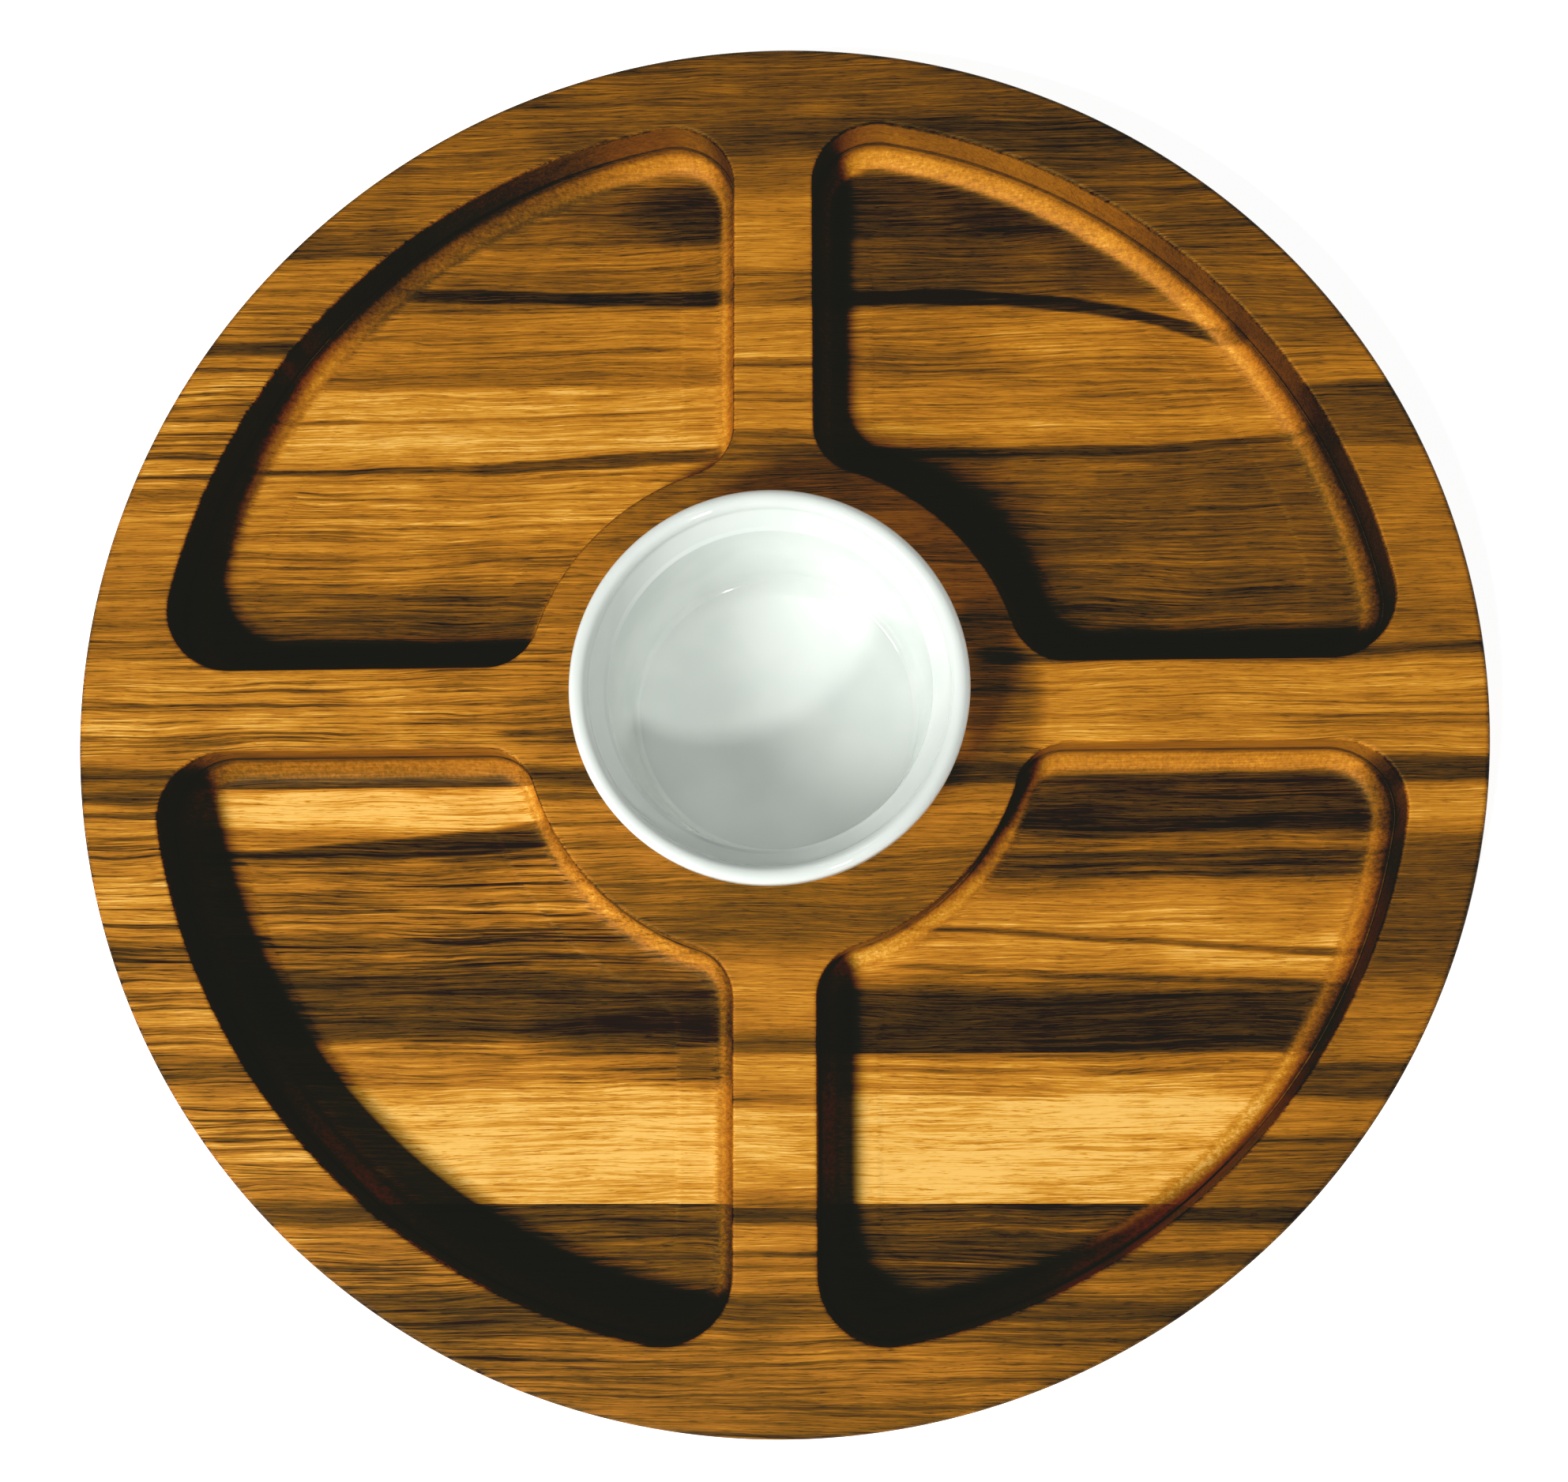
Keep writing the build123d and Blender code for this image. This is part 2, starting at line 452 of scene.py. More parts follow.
# The figure of each stave across its width. A stop is (y in millimetres, tone, how streaky).
# "left", "middle" and "right" are parts of the top, "floor_left" and "floor_right" the floors of
# the compartments.
FIGURES = {
    "far_edge_stave": {
        "left": [(165, .40, .3), (150, .45, .35), (135, .50, .4), (121, .55, .4), (118, .38, .5),
                 (114, .36, .5), (111, .58, .4), (100, .62, .4), (92, .58, .5), (90.5, .20, .3),
                 (88.5, .22, .3), (87, .60, .4), (85, .62, .4)],
        "middle": [(165, .38, .3), (150, .40, .3), (146, .34, .3), (142, .24, .3), (138, .28, .3),
                   (136, .42, .2), (128, .46, .2), (125, .66, .2), (118, .74, .2), (109, .70, .2),
                   (106, .50, .3), (99, .49, .3), (97, .74, .25), (88, .77, .3), (86, .76, .2),
                   (85, .90, .1)],
        "right": [(165, .34, .3), (152, .32, .3), (148, .27, .3), (133, .27, .3), (129, .32, .4),
                  (112, .32, .4), (108, .42, .4), (88, .45, .3), (85, .50, .3)],
        "floor_left": [(145, .40, .3), (137, .38, .3), (128, .40, .3), (123, .46, .3),
                       (121, .55, .3), (116, .56, .3), (114, .47, .3), (107, .48, .3),
                       (104, .62, .35), (98, .64, .35), (92, .60, .35), (88, .52, .3),
                       (85, .50, .3)],
        "floor_right": [(145, .30, .3), (137, .18, .3), (124, .18, .3), (121, .30, .3),
                        (110, .30, .3), (107, .30, .3), (103, .58, .3), (98, .64, .3),
                        (92, .62, .35), (85, .62, .35)],
    },
    "far_inner_stave": {
        "left": [(85, .62, .9), (76.5, .68, .9), (75, .40, .6), (73.8, .68, .8), (72, .44, .6),
                 (71, .72, .8), (66, .70, .8), (65, .38, .6), (63.8, .68, .8), (62, .40, .6),
                 (61, .70, .8), (58, .66, .8), (57, .38, .6), (55.5, .68, .8), (52.5, .42, .6),
                 (51, .72, .6), (45, .68, .4), (35, .64, .35), (24, .62, .35), (20.5, .42, .5),
                 (19, .62, .5), (16.5, .40, .5), (15, .62, .5), (13, .50, .4)],
        "middle": [(85, .74, .2), (84, .60, .2), (83, .34, .2), (82, .72, .25), (77, .70, .3),
                   (76, .52, .3), (75, .66, .3), (74, .52, .3), (73, .68, .3), (67, .66, .3),
                   (65.5, .40, .3), (64.5, .62, .3), (63, .36, .3), (61, .38, .25), (52, .42, .25),
                   (45, .50, .3), (30, .55, .3), (13, .52, .3)],
        "right": [(85, .56, .3), (83.5, .56, .3), (83, .36, .2), (82, .58, .3), (76.5, .56, .3),
                  (75, .22, .2), (73.5, .30, .3), (62, .34, .3), (60, .54, .15), (45, .56, .12),
                  (30, .56, .12), (16, .56, .15), (13, .54, .2)],
        "floor_left": [(85, .62, .3), (84, .78, .35), (80, .80, .3), (72, .82, .3), (67, .80, .3),
                       (65.5, .70, .3), (62, .70, .5), (50, .75, .5), (43.5, .68, .5),
                       (42, .48, .4), (40.5, .66, .5), (35, .58, .5), (31, .40, .4), (22, .35, .3),
                       (13, .32, .3)],
        "floor_right": [(85, .62, .3), (80, .66, .35), (72, .76, .3), (69, .66, .3),
                        (65, .36, .25), (50, .38, .25), (40, .35, .25), (38, .42, .3),
                        (36, .42, .3), (34, .32, .3), (30, .30, .3), (20, .27, .3), (13, .24, .2)],
    },
    "centre_stave": {
        "left": [(13, .60, .7), (8, .66, .7), (2, .62, .8), (-4, .66, .8), (-9, .64, .7),
                 (-13, .62, .6), (-14.5, .34, .3), (-16.3, .16, .2)],
        "middle": [(13, .52, .4), (5, .54, .4), (-8, .52, .4), (-13.5, .48, .4), (-15, .26, .3),
                   (-16.3, .14, .2)],
        "right": [(13, .50, .2), (12, .26, .2), (10.5, .30, .2), (9, .68, .35), (4, .76, .4),
                  (-3, .66, .5), (-8, .73, .4), (-12.5, .66, .4), (-14.5, .24, .2),
                  (-16.3, .18, .2)],
        "floor_left": [(13, .50, .3), (-9, .36, .3), (-12, .22, .3), (-14.3, .22, .3),
                       (-15, .18, .2), (-16.3, .25, .2)],
        "floor_right": [(13, .40, .3), (-9, .44, .3), (-12, .38, .3), (-14, .38, .3),
                        (-15, .20, .2), (-16.3, .12, .2)],
    },
    "near_inner_stave": {
        "left": [(-16.3, .20, .3), (-17.5, .44, .4), (-19.5, .46, .4), (-21.5, .34, .3),
                 (-23, .62, .8), (-35, .68, .85), (-45, .70, .9), (-52.5, .66, .9), (-55, .42, .7),
                 (-59, .40, .7), (-61, .60, .9), (-70, .60, .9), (-80.5, .60, .8)],
        "middle": [(-16.3, .16, .2), (-18.5, .30, .3), (-21, .50, .3), (-30, .54, .3),
                   (-40, .50, .3), (-44, .42, .3), (-55, .42, .3), (-59, .60, .15), (-64, .68, .1),
                   (-74, .68, .12), (-76.5, .56, .2), (-78, .38, .2), (-80.5, .40, .2)],
        "right": [(-16.3, .16, .2), (-18.5, .20, .2), (-20.5, .70, .25), (-26, .77, .25),
                  (-30, .64, .25), (-33, .38, .2), (-45, .30, .2), (-60, .34, .2), (-64, .54, .25),
                  (-72, .62, .3), (-80.5, .56, .3)],
        "floor_left": [(-16.3, .60, .3), (-17.2, .92, .25), (-22, .95, .3), (-25.5, .90, .3),
                       (-27.5, .66, .4), (-31, .56, .5), (-34, .44, .6), (-38, .50, .8),
                       (-45, .58, .9), (-52, .49, .9), (-58, .38, .8), (-63, .22, .5),
                       (-72, .20, .4), (-75.5, .26, .4), (-78.5, .58, .6), (-80.5, .62, .6)],
        "floor_right": [(-16.3, .12, .3), (-18, .14, .5), (-22, .12, .5), (-24.5, .06, .3),
                        (-27.5, .06, .3), (-29, .46, .5), (-32.5, .46, .5), (-34, .10, .3),
                        (-35, .34, .4), (-36, .12, .3), (-37, .34, .4), (-38, .18, .3),
                        (-40, .56, .3), (-46, .74, .25), (-53, .76, .3), (-58, .82, .3),
                        (-61, .78, .3), (-65, .42, .4), (-67.5, .14, .3), (-74, .08, .2),
                        (-79.5, .10, .3), (-80.5, .20, .3)],
    },
    "near_middle_stave": {
        "left": [(-80.5, .52, .9), (-83, .42, .7), (-87.5, .40, .7), (-90, .66, .95),
                 (-98, .68, .95), (-105, .64, 1), (-112, .66, .9), (-114, .56, .6),
                 (-115, .38, .3)],
        "middle": [(-80.5, .60, .2), (-81.5, .82, .25), (-89.5, .80, .25), (-91, .50, .3),
                   (-92.5, .60, .3), (-95, .84, .25), (-103, .92, .25), (-110, .84, .3),
                   (-112, .62, .3), (-115, .52, .3)],
        "right": [(-80.5, .54, .3), (-82.5, .50, .3), (-84, .26, .3), (-89.5, .26, .3),
                  (-91.5, .60, .3), (-98, .60, .3), (-99.5, .46, .2), (-100.2, .18, .2),
                  (-101.5, .42, .3), (-113, .44, .4), (-115, .40, .3)],
        "floor_left": [(-80.5, .60, .6), (-86, .68, .6), (-89, .88, .3), (-97, .97, .25),
                       (-108, .96, .2), (-115, .88, .2)],
        "floor_right": [(-80.5, .50, .4), (-82.5, .78, .5), (-84.2, .58, .4), (-85.4, .82, .5),
                        (-87, .70, .4), (-89.5, .86, .4), (-92, .96, .25), (-101, 1.0, .2),
                        (-108, 1.0, .2), (-115, .92, .2)],
    },
    "near_narrow_stave": {
        "left": [(-115, .22, .4), (-117, .28, .4), (-118.5, .54, .8), (-125, .58, .9),
                 (-132, .54, .8), (-134, .30, .4), (-136, .28, .4)],
        "middle": [(-115, .30, .3), (-116.5, .24, .3), (-118, .30, .3), (-119.2, .72, .3),
                   (-123.8, .74, .3), (-125, .42, .3), (-126, .68, .3), (-127.5, .50, .3),
                   (-129, .70, .3), (-133, .60, .3), (-134.5, .34, .3), (-136, .36, .3)],
        "right": [(-115, .14, .2), (-117.5, .10, .2), (-119, .50, .3), (-123.5, .54, .3),
                  (-125, .22, .2), (-127, .24, .2), (-128.5, .52, .3), (-134.5, .50, .3),
                  (-136, .26, .3)],
        "floor_left": [(-115, .34, .4), (-120, .30, .5), (-128, .28, .5), (-136, .24, .4)],
        "floor_right": [(-115, .24, .4), (-119, .24, .4), (-120.5, .42, .5), (-122, .22, .4),
                        (-127, .22, .4), (-128.5, .40, .5), (-130, .20, .4), (-136, .18, .3)],
    },
    "near_edge_stave": {
        "left": [(-136, .34, .6), (-137, .32, .6), (-142, .34, .7), (-144, .42, .8),
                 (-150, .44, .8), (-165, .46, .5)],
        "middle": [(-136, .44, .4), (-138, .30, .4), (-140, .48, .4), (-145, .54, .5),
                   (-152, .52, .5), (-165, .46, .4)],
        "right": [(-136, .24, .3), (-139.5, .26, .3), (-141.5, .40, .4), (-150, .42, .4),
                  (-165, .46, .4)],
        "floor_left": [(-136, .24, .4), (-165, .30, .4)],
        "floor_right": [(-136, .18, .3), (-165, .26, .3)],
    },
}

# Long mineral lines on the compartment floors: three (x, y) points, the width at both ends and
# the depth of tone
LINES = {
    "far_edge_stave": [
        ((-92, 110), (-55, 109), (-10, 107.5), 2.6, 3.6, .42),
        ((18, 106.5), (75, 103), (128, 88), 3.4, 3.0, .5),
    ],
    "far_inner_stave": [
        ((-140, 64), (-92, 63.5), (-18, 66), 1.2, 3.6, .45),
        ((-140, 76.5), (-90, 77), (-18, 78.5), 0.8, 1.0, .28),
        ((20, 66.5), (60, 66), (135, 69), 2.6, 2.2, .3),
    ],
    "near_inner_stave": [
        ((-138, -33), (-95, -31), (-56, -27.5), 1.4, 6.5, .42),
        ((30, -51), (80, -54), (135, -58), 1.2, 1.8, .4),
        ((30, -60), (80, -63), (135, -66), 1.2, 1.4, .3),
    ],
    "near_middle_stave": [
        ((66, -102), (85, -102.3), (104, -102), 0.7, 0.7, .2),
    ],
}

# Soft patches on the compartment floors, the top or the pocket walls, some of them painted shade,
# shadow or highlight where marked: (x, y) of the middle, half length, half width and shift of tone
PATCHES = {
    "far_edge_stave": [
        ("floor", (-16, 130), 24, 9, -.25),
        ("floor", (34, 89), 28, 8, -.14),
        ("floor", (74, 95), 20, 7, .10),
        ("top", (45, 141), 50, 5, -.08),
        # A painted highlight in the far right cove
        ("wall", (50, 135), 60, 30, .12),
        # Painted shade on the far left arc's wall, which faces away from the key light
        ("wall", (-76, 116), 60, 28, -.34),
    ],
    "far_inner_stave": [
        # Painted shade on the left wall, which lies in the key light's shadow
        ("wall", (-135, 60), 40, 40, -.20),
        ("wall", (136, 42), 24, 44, -.15),
        # The bowl's shadow on the ring, painted
        ("top", (50, 18), 9, 7, -.16),
    ],
    "centre_stave": [
        # The bowl's shadow on the ring, painted
        ("top", (53, 0), 10, 15, -.32),
        ("top", (-52, -3), 14, 8, -.14),
    ],
    "near_inner_stave": [
        ("floor", (-24, -77), 34, 9, -.24),
        ("wall", (138, -48), 24, 44, -.08),
    ],
    "near_middle_stave": [
        ("floor", (-14, -83), 26, 6, -.26),
        ("floor", (85, -92), 24, 6, .06),
    ],
}

# Where a stave's figure changes from its left to its middle and on to its right, by |x|; on the
# floors it changes under the spokes
TOP_CHANGE = (20, 80)
FLOOR_CHANGE = 8
# Heights over which it changes from the floor's figure to the top's
LEVEL_CHANGE = (POCKET_FLOOR + 2, TRAY_TOP - 3)
# Radii over which the pockets end and the tray's outer side begins
INSIDE_END = (RIM_INNER + 1.5, RIM_INNER + 4)

# Soft edge of a mineral line, in millimetres, and its faded ends, in shares of its length
LINE_EDGE = (-0.5, 0.6)
LINE_ENDS = ((-0.1, 0.04), (0.96, 1.1))
# Squares of the radius over which a soft patch fades out
PATCH_FADE = (0.2, 1.4)

# How far the fibres stray across the grain: noise scales along x, y and z, and swing in millimetres
STRAYING = [
    ((0.018, 0.06, 0.05), 4.5),
    ((0.05, 0.5, 0.2), 0.9),
]

# Noises drawn out along the fibres: scales along x, y and z, detail and roughness
FIBRES = {
    "broad": ((0.010, 0.33, 0.2), 3, 0.6),
    "lines": ((0.016, 1.15, 0.5), 3, 0.6),
    "dashes": ((0.045, 1.7, 0.8), 3, 0.65),
    "fine": ((0.06, 3.5, 1.4), 3, 0.72),
    "pores": ((0.25, 4.5, 2.0), 2, 0.6),
}
# Marks that they leave: the noise, where the mark starts and is full, and its shift of tone
STREAKS = [
    ("lines", 0.53, 0.61, -0.42),
    ("lines", 0.46, 0.34, 0.16),
    ("dashes", 0.54, 0.63, -0.30),
]
STREAK_LIFT = 0.12
FLECKS = ("pores", 0.55, 0.68, -0.19)
CLOUD_SCALES = (0.05, 0.07, 0.07)
CLOUD_SWING = 0.34

# Marks up a pocket's wall, a painted highlight in the cove and painted shade at the ledge among
# them:
# heights over which each comes in and goes out again
WALL = ((POCKET_FLOOR + 0.03, POCKET_FLOOR + 0.8), (TRAY_TOP - 2, TRAY_TOP - 0.5))
TORN_GRAIN = ((POCKET_FLOOR + 0.05, POCKET_FLOOR + 0.8), (COVE_TOP - 2, COVE_TOP - 0.4))
# A painted highlight along the middle of each cove
COVE_HIGHLIGHT = ((POCKET_FLOOR + 0.1, POCKET_FLOOR + 1.2), (POCKET_FLOOR + 3.4, POCKET_FLOOR + 5.4))
# Painted shade in a dark line along the tiny ledge where the cove meets the wall
LEDGE_SHADE = ((COVE_TOP - 0.5, COVE_TOP + 0.1), (COVE_TOP + 0.3, COVE_TOP + 1.4))
# The walls' evened tone with painted shade: darker on the walls at the near left, which face away
# from the key light, paler towards the far right, and how much of it there is
KEY_SHADE_DIRECTION = (0.64, 0.77)
WALL_TONE_AND_SHADE = (-125, -35, 0.24, 0.60)
WALL_SHARE = 0.6
TORN_SCALES = (1.1, 1.1, 0.4)
TORN_SWING = 0.5
# Tone of the painted highlight in the cove
COVE_HIGHLIGHT_TONE = 0.2
# Tone of the painted shade at the ledge
LEDGE_SHADE_TONE = -0.26

# Painted shade on the tray's rounded outer edge: radii over which it comes in, and its shift of
# tone
EDGE_PAINTED_SHADE = (TRAY_RADIUS - 1.6, TRAY_RADIUS - 0.5, 0, -0.12)
# How squarely a face has to look along the fibres to be end grain
END_GRAIN_FACING = (0.4, 0.95)
END_GRAIN_TONE = -0.30
END_GRAIN_TINT = (1.0, 0.78, 0.62, 1)
END_GRAIN_TINT_SHARE = 0.7

# Roughness from the duller to the glossier fibres, by the fine noise
WOOD_ROUGHNESS = (0.3, 0.7, 0.62, 0.50)
WOOD_SPECULAR = 0.12
WOOD_SPECULAR_TINT = (1.0, 0.82, 0.58, 1)
# How much two of the noises stand out, and the relief's depth in metres and strength
FINE_RELIEF = 0.7
DASH_RELIEF = 0.5
WOOD_RELIEF = (0.00015, 0.35)


def figure_tone(shader, name, near, far, x, y, level):
    """Tone and streakiness from the stave's figure; level is 0 on the floor and 1 on the top."""
    width = far - near
    position = shader.past(y, near, width)

    def profile(side):
        stops = [((stop_y - near) / width, (tone, tone, tone, streaky))
                 for stop_y, tone, streaky in FIGURES[name][side]]
        return shader.ramp(position, stops)

    def blend(factor, first, second):
        return [shader.mix(factor, a, b) for a, b in zip(first, second)]

    start, end = TOP_CHANGE
    top = blend(shader.step(x, -end, -start), profile("left"), profile("middle"))
    top = blend(shader.step(x, start, end), top, profile("right"))
    to_right = shader.step(x, -FLOOR_CHANGE, FLOOR_CHANGE)
    floor = blend(to_right, profile("floor_left"), profile("floor_right"))
    return blend(level, floor, top)


def mineral_line(shader, x, y, start, middle, end, width_start, width_end, depth):
    """Tone taken away along a curved line through three points."""
    length, rise = end[0] - start[0], end[1] - start[1]
    along = shader.past(x, start[0], length)
    at_middle = (middle[0] - start[0]) / length
    bend = (middle[1] - start[1] - rise * at_middle) / (at_middle ** 2 - at_middle)
    slope = shader.add(shader.times(along, bend), rise - bend)
    centre = shader.add(shader.times(slope, along), start[1])
    away = shader.math("ABSOLUTE", shader.less(y, centre))
    half_width = shader.step(along, 0, 1, width_start / 2, width_end / 2)
    on_line = shader.step(shader.less(away, half_width), *LINE_EDGE, 1, 0)
    return shader.times(shader.times(on_line, shader.band(along, *LINE_ENDS)), -depth)


def soft_patch(shader, x, y, middle, half_length, half_width, shift):
    """Tone added in a soft ellipse."""
    across = shader.past(x, middle[0], half_length)
    up = shader.past(y, middle[1], half_width)
    distance = shader.add(shader.times(across, across), shader.times(up, up))
    return shader.step(distance, *PATCH_FADE, shift, 0)


def with_patches(shader, tone, name, where, place, share):
    """The tone with the stave's soft patches of one sort added, as far as share goes."""
    for sort, *patch in PATCHES.get(name, []):
        if sort == where:
            shift = soft_patch(shader, place[0], place[1], *patch)
            tone = shader.add(tone, shader.times(shift, share))
    return tone


def wood_tone_and_painted_shadow(shader, name, near, far, place, fibre_y, inside):
    """Tone and streakiness of the wood: figure, mineral lines and soft patches, the bowl's shadow
    painted on the ring among them.

    The figure changes from the floor's to the top's up the pocket walls. The tray's outer side
    has the top's figure all the way down.
    """
    x, _, z = place
    top = shader.mix(inside, 1.0, shader.step(z, *LEVEL_CHANGE))
    floor = shader.less(1, top)
    tone, streaky = figure_tone(shader, name, near, far, x, fibre_y, top)
    for line in LINES.get(name, []):
        tone = shader.add(tone, shader.times(mineral_line(shader, x, fibre_y, *line), floor))
    tone = with_patches(shader, tone, name, "top", place, top)
    tone = with_patches(shader, tone, name, "floor", place, floor)
    return tone, streaky


def with_wall_marks_and_painted_light(shader, tone, name, place, inside):
    """The tone with what the cutter leaves on the pocket walls, and with shade and a highlight
    painted on them.

    They cut across the figure, so it evens out on them, with painted shade on the walls at the near
    left, nearest the key light, which face away from it. The cutter also tears the grain a little
    in the coves, which leaves them finely scratched; a painted highlight runs along the middle of
    each cove, and painted shade along the dark line where the cove meets the wall. Soft patches
    shift the tone of some walls, among them painted shade at the far left and a painted highlight
    in the far right cove.
    """
    x, y, z = place
    wall = shader.times(shader.band(z, *WALL), inside)
    # Painted shade: the walls at the near left, which face away from the key light, take a darker
    # tone
    away_from_key = shader.add(shader.times(x, KEY_SHADE_DIRECTION[0]), shader.times(y, KEY_SHADE_DIRECTION[1]))
    tone = shader.mix(shader.times(wall, WALL_SHARE), tone, shader.step(away_from_key, *WALL_TONE_AND_SHADE))
    tone = with_patches(shader, tone, name, "wall", place, wall)
    torn = shader.swing(shader.noise(place, TORN_SCALES, detail=3, roughness=0.7), TORN_SWING)
    # Scratches of the torn grain, with the cove's painted highlight
    scratched_and_highlit = shader.add(torn, shader.band(z, *COVE_HIGHLIGHT, COVE_HIGHLIGHT_TONE))
    # The dark line at the ledge is painted shade
    marks = shader.add(shader.times(scratched_and_highlit, shader.band(z, *TORN_GRAIN)),
                       shader.band(z, *LEDGE_SHADE, LEDGE_SHADE_TONE))
    return shader.add(tone, shader.times(marks, inside))


def stave_wood(name, near, far):
    """Oiled hardwood with its fibres along X: a solid texture, so that all its faces agree."""
    shader = Shader("oiled_" + name.replace("_stave", "_wood"))
    place = x, y, z = shader.place()
    seed = 10.0 * list(FIGURES).index(name)
    radius = shader.math("SQRT", shader.add(shader.times(x, x), shader.times(y, y)))
    inside = shader.step(radius, *INSIDE_END, 1, 0)
    strays = [shader.swing(shader.noise(place, scales, seed), swing) for scales, swing in STRAYING]
    fibre_y = shader.add(y, *strays)
    fibres = {key: shader.noise((x, fibre_y, z), scales, seed, detail, roughness)
              for key, (scales, detail, roughness) in FIBRES.items()}

    def mark(key, start, full, shift):
        return shader.step(fibres[key], start, full, 0, shift)

    tone, streaky = wood_tone_and_painted_shadow(shader, name, near, far, place, fibre_y, inside)
    marks = [mark(*streak) for streak in STREAKS]
    streaks = shader.add(shader.swing(fibres["broad"], 1), *marks, STREAK_LIFT)
    cloud = shader.noise(place, CLOUD_SCALES, seed, detail=3)
    tone = shader.add(tone, shader.times(streaks, streaky), shader.swing(fibres["fine"], 1),
                      mark(*FLECKS), shader.swing(cloud, CLOUD_SWING))
    tone = with_wall_marks_and_painted_light(shader, tone, name, place, inside)

    # Painted shade darkens the outermost rounded edge, and end grain soaks up more oil: darker,
    # redder
    facing = shader.split(shader.node("ShaderNodeNewGeometry").outputs["Normal"])[0]
    end_grain = shader.step(shader.math("ABSOLUTE", facing), *END_GRAIN_FACING)
    tone = shader.add(tone, shader.step(radius, *EDGE_PAINTED_SHADE),
                      shader.times(end_grain, END_GRAIN_TONE))
    palette = [(position, printed(*colour)) for position, colour in WOOD_TONES]
    colour = shader.ramp(tone, palette)[0]
    redden = shader.times(end_grain, END_GRAIN_TINT_SHARE)
    colour = shader.mix_colour(redden, colour, END_GRAIN_TINT, "MULTIPLY")
    shader.set("Base Color", colour)
    shader.set("Roughness", shader.step(fibres["fine"], *WOOD_ROUGHNESS))
    shader.set("Specular IOR Level", WOOD_SPECULAR)
    shader.set("Specular Tint", WOOD_SPECULAR_TINT)
    relief = shader.add(shader.times(fibres["fine"], FINE_RELIEF),
                        shader.times(fibres["dashes"], DASH_RELIEF))
    shader.bump(relief, *WOOD_RELIEF)
    return shader.material


# ---------------------------------------------------------------- bowl

# The glaze waves a little: the noise's scales per millimetre, the two tints that it turns between
# and the levels where it does, its roughness, and the relief's depth in metres and strength
GLAZE_SCALES = (0.05, 0.05, 0.05)
GLAZE_COOL = (0.80, 0.83, 0.80, 1)
GLAZE_PALE = (0.86, 0.88, 0.85, 1)
GLAZE_TURN = (0.35, 0.65)
GLAZE_ROUGHNESS = (0.3, 0.7, 0.04, 0.06)
GLAZE_IOR = 1.52
GLAZE_RELIEF = (0.0006, 0.1)


def rounded_profile(corners):
    """Points along a line of corners (radius, height, round), each round drawn as an arc."""
    points = [corners[0][:2]]
    for before, (*corner, bend), after in zip(corners, corners[1:], corners[2:]):
        here = Vector(corner)
        to_before = (Vector(before[:2]) - here).normalized()
        to_after = (Vector(after[:2]) - here).normalized()
        half_angle = to_before.angle(to_after) / 2
        reach = bend / math.tan(half_angle)
        middle = here + (to_before + to_after).normalized() * bend / math.sin(half_angle)
        first, last = here + to_before * reach - middle, here + to_after * reach - middle
        steps = max(4, round(math.degrees(first.angle(last)) / BOWL_ROUND_STEP))
        for step in range(steps + 1):
            spoke = first.slerp(last, step / steps)
            points.append(tuple(middle + spoke.normalized() * bend))
    points.append(corners[-1][:2])
    return points


def bowl_mesh():
    """Straight-sided ramekin with a rolled lip, a shoulder inside the lip and a foot ring."""
    rim, lip, body = BOWL_RIM, BOWL_RIM - BOWL_LIP_WIDTH, BOWL_BODY_RADIUS
    inside, ledge, foot = BOWL_FLOOR_RADIUS, BOWL_LEDGE_RADIUS, BOWL_FOOT_RADIUS
    height = BOWL_HEIGHT
    # From the middle of the inside over the lip to the middle of the underside:
    # radius from the axis, height above the foot, round
    corners = [
        (0, BOWL_FLOOR),
        (inside, BOWL_FLOOR, 0.5),
        (inside + 1.0, BOWL_FLOOR + 0.3, 3.0),
        (ledge, height - 6.6, 0.5),
        (ledge + 0.9, height - 6, 0.8),
        (lip, height - 2.6, 1.5),
        (lip + 0.3, height, BOWL_LIP_ROUND),
        (rim, height, BOWL_LIP_ROUND),
        (rim, height - 5.4, 1.6),
        (body, height - 8.2, 2.0),
        (body - 1.1, 1.2, 5.0),
        (foot + 0.6, 1.2, 0.5),
        (foot, 0, 0.6),
        (foot - 3.5, 0, 0.6),
        (foot - 4.7, BOWL_FOOT_HEIGHT, 0.6),
        (0, BOWL_FOOT_HEIGHT),
    ]
    profile = rounded_profile(corners)
    bm = bmesh.new()
    loops = [[(x, y, BOWL_FOOT + z) for x, y in circle_outline(radius, BOWL_STEPS)]
             for radius, z in profile[1:-1]]
    rings = loft(bm, loops)
    for ring, z in ((rings[0], profile[0][1]), (rings[-1], profile[-1][1])):
        pole = bm.verts.new((0, 0, (BOWL_FOOT + z) * MM))
        for a, b in zip(ring, ring[1:] + ring[:1]):
            bm.faces.new((a, b, pole))
    bmesh.ops.recalc_face_normals(bm, faces=bm.faces)
    return bm


def glaze():
    """White glaze, a touch cool and very slightly wavy."""
    shader = Shader("white_glaze")
    waves = shader.noise(shader.place(), GLAZE_SCALES)
    tint = shader.mix_colour(shader.step(waves, *GLAZE_TURN), GLAZE_COOL, GLAZE_PALE)
    shader.set("Base Color", tint)
    shader.set("Roughness", shader.step(waves, *GLAZE_ROUGHNESS))
    shader.set("IOR", GLAZE_IOR)
    shader.bump(waves, *GLAZE_RELIEF)
    return shader.material


def dip_bowl():
    piece = new_object("glazed_bowl", bowl_mesh())
    piece.data.materials.append(glaze())
    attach(piece, "bowl")
    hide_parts("dip_bowl")
    return piece


# ---------------------------------------------------------------- studio

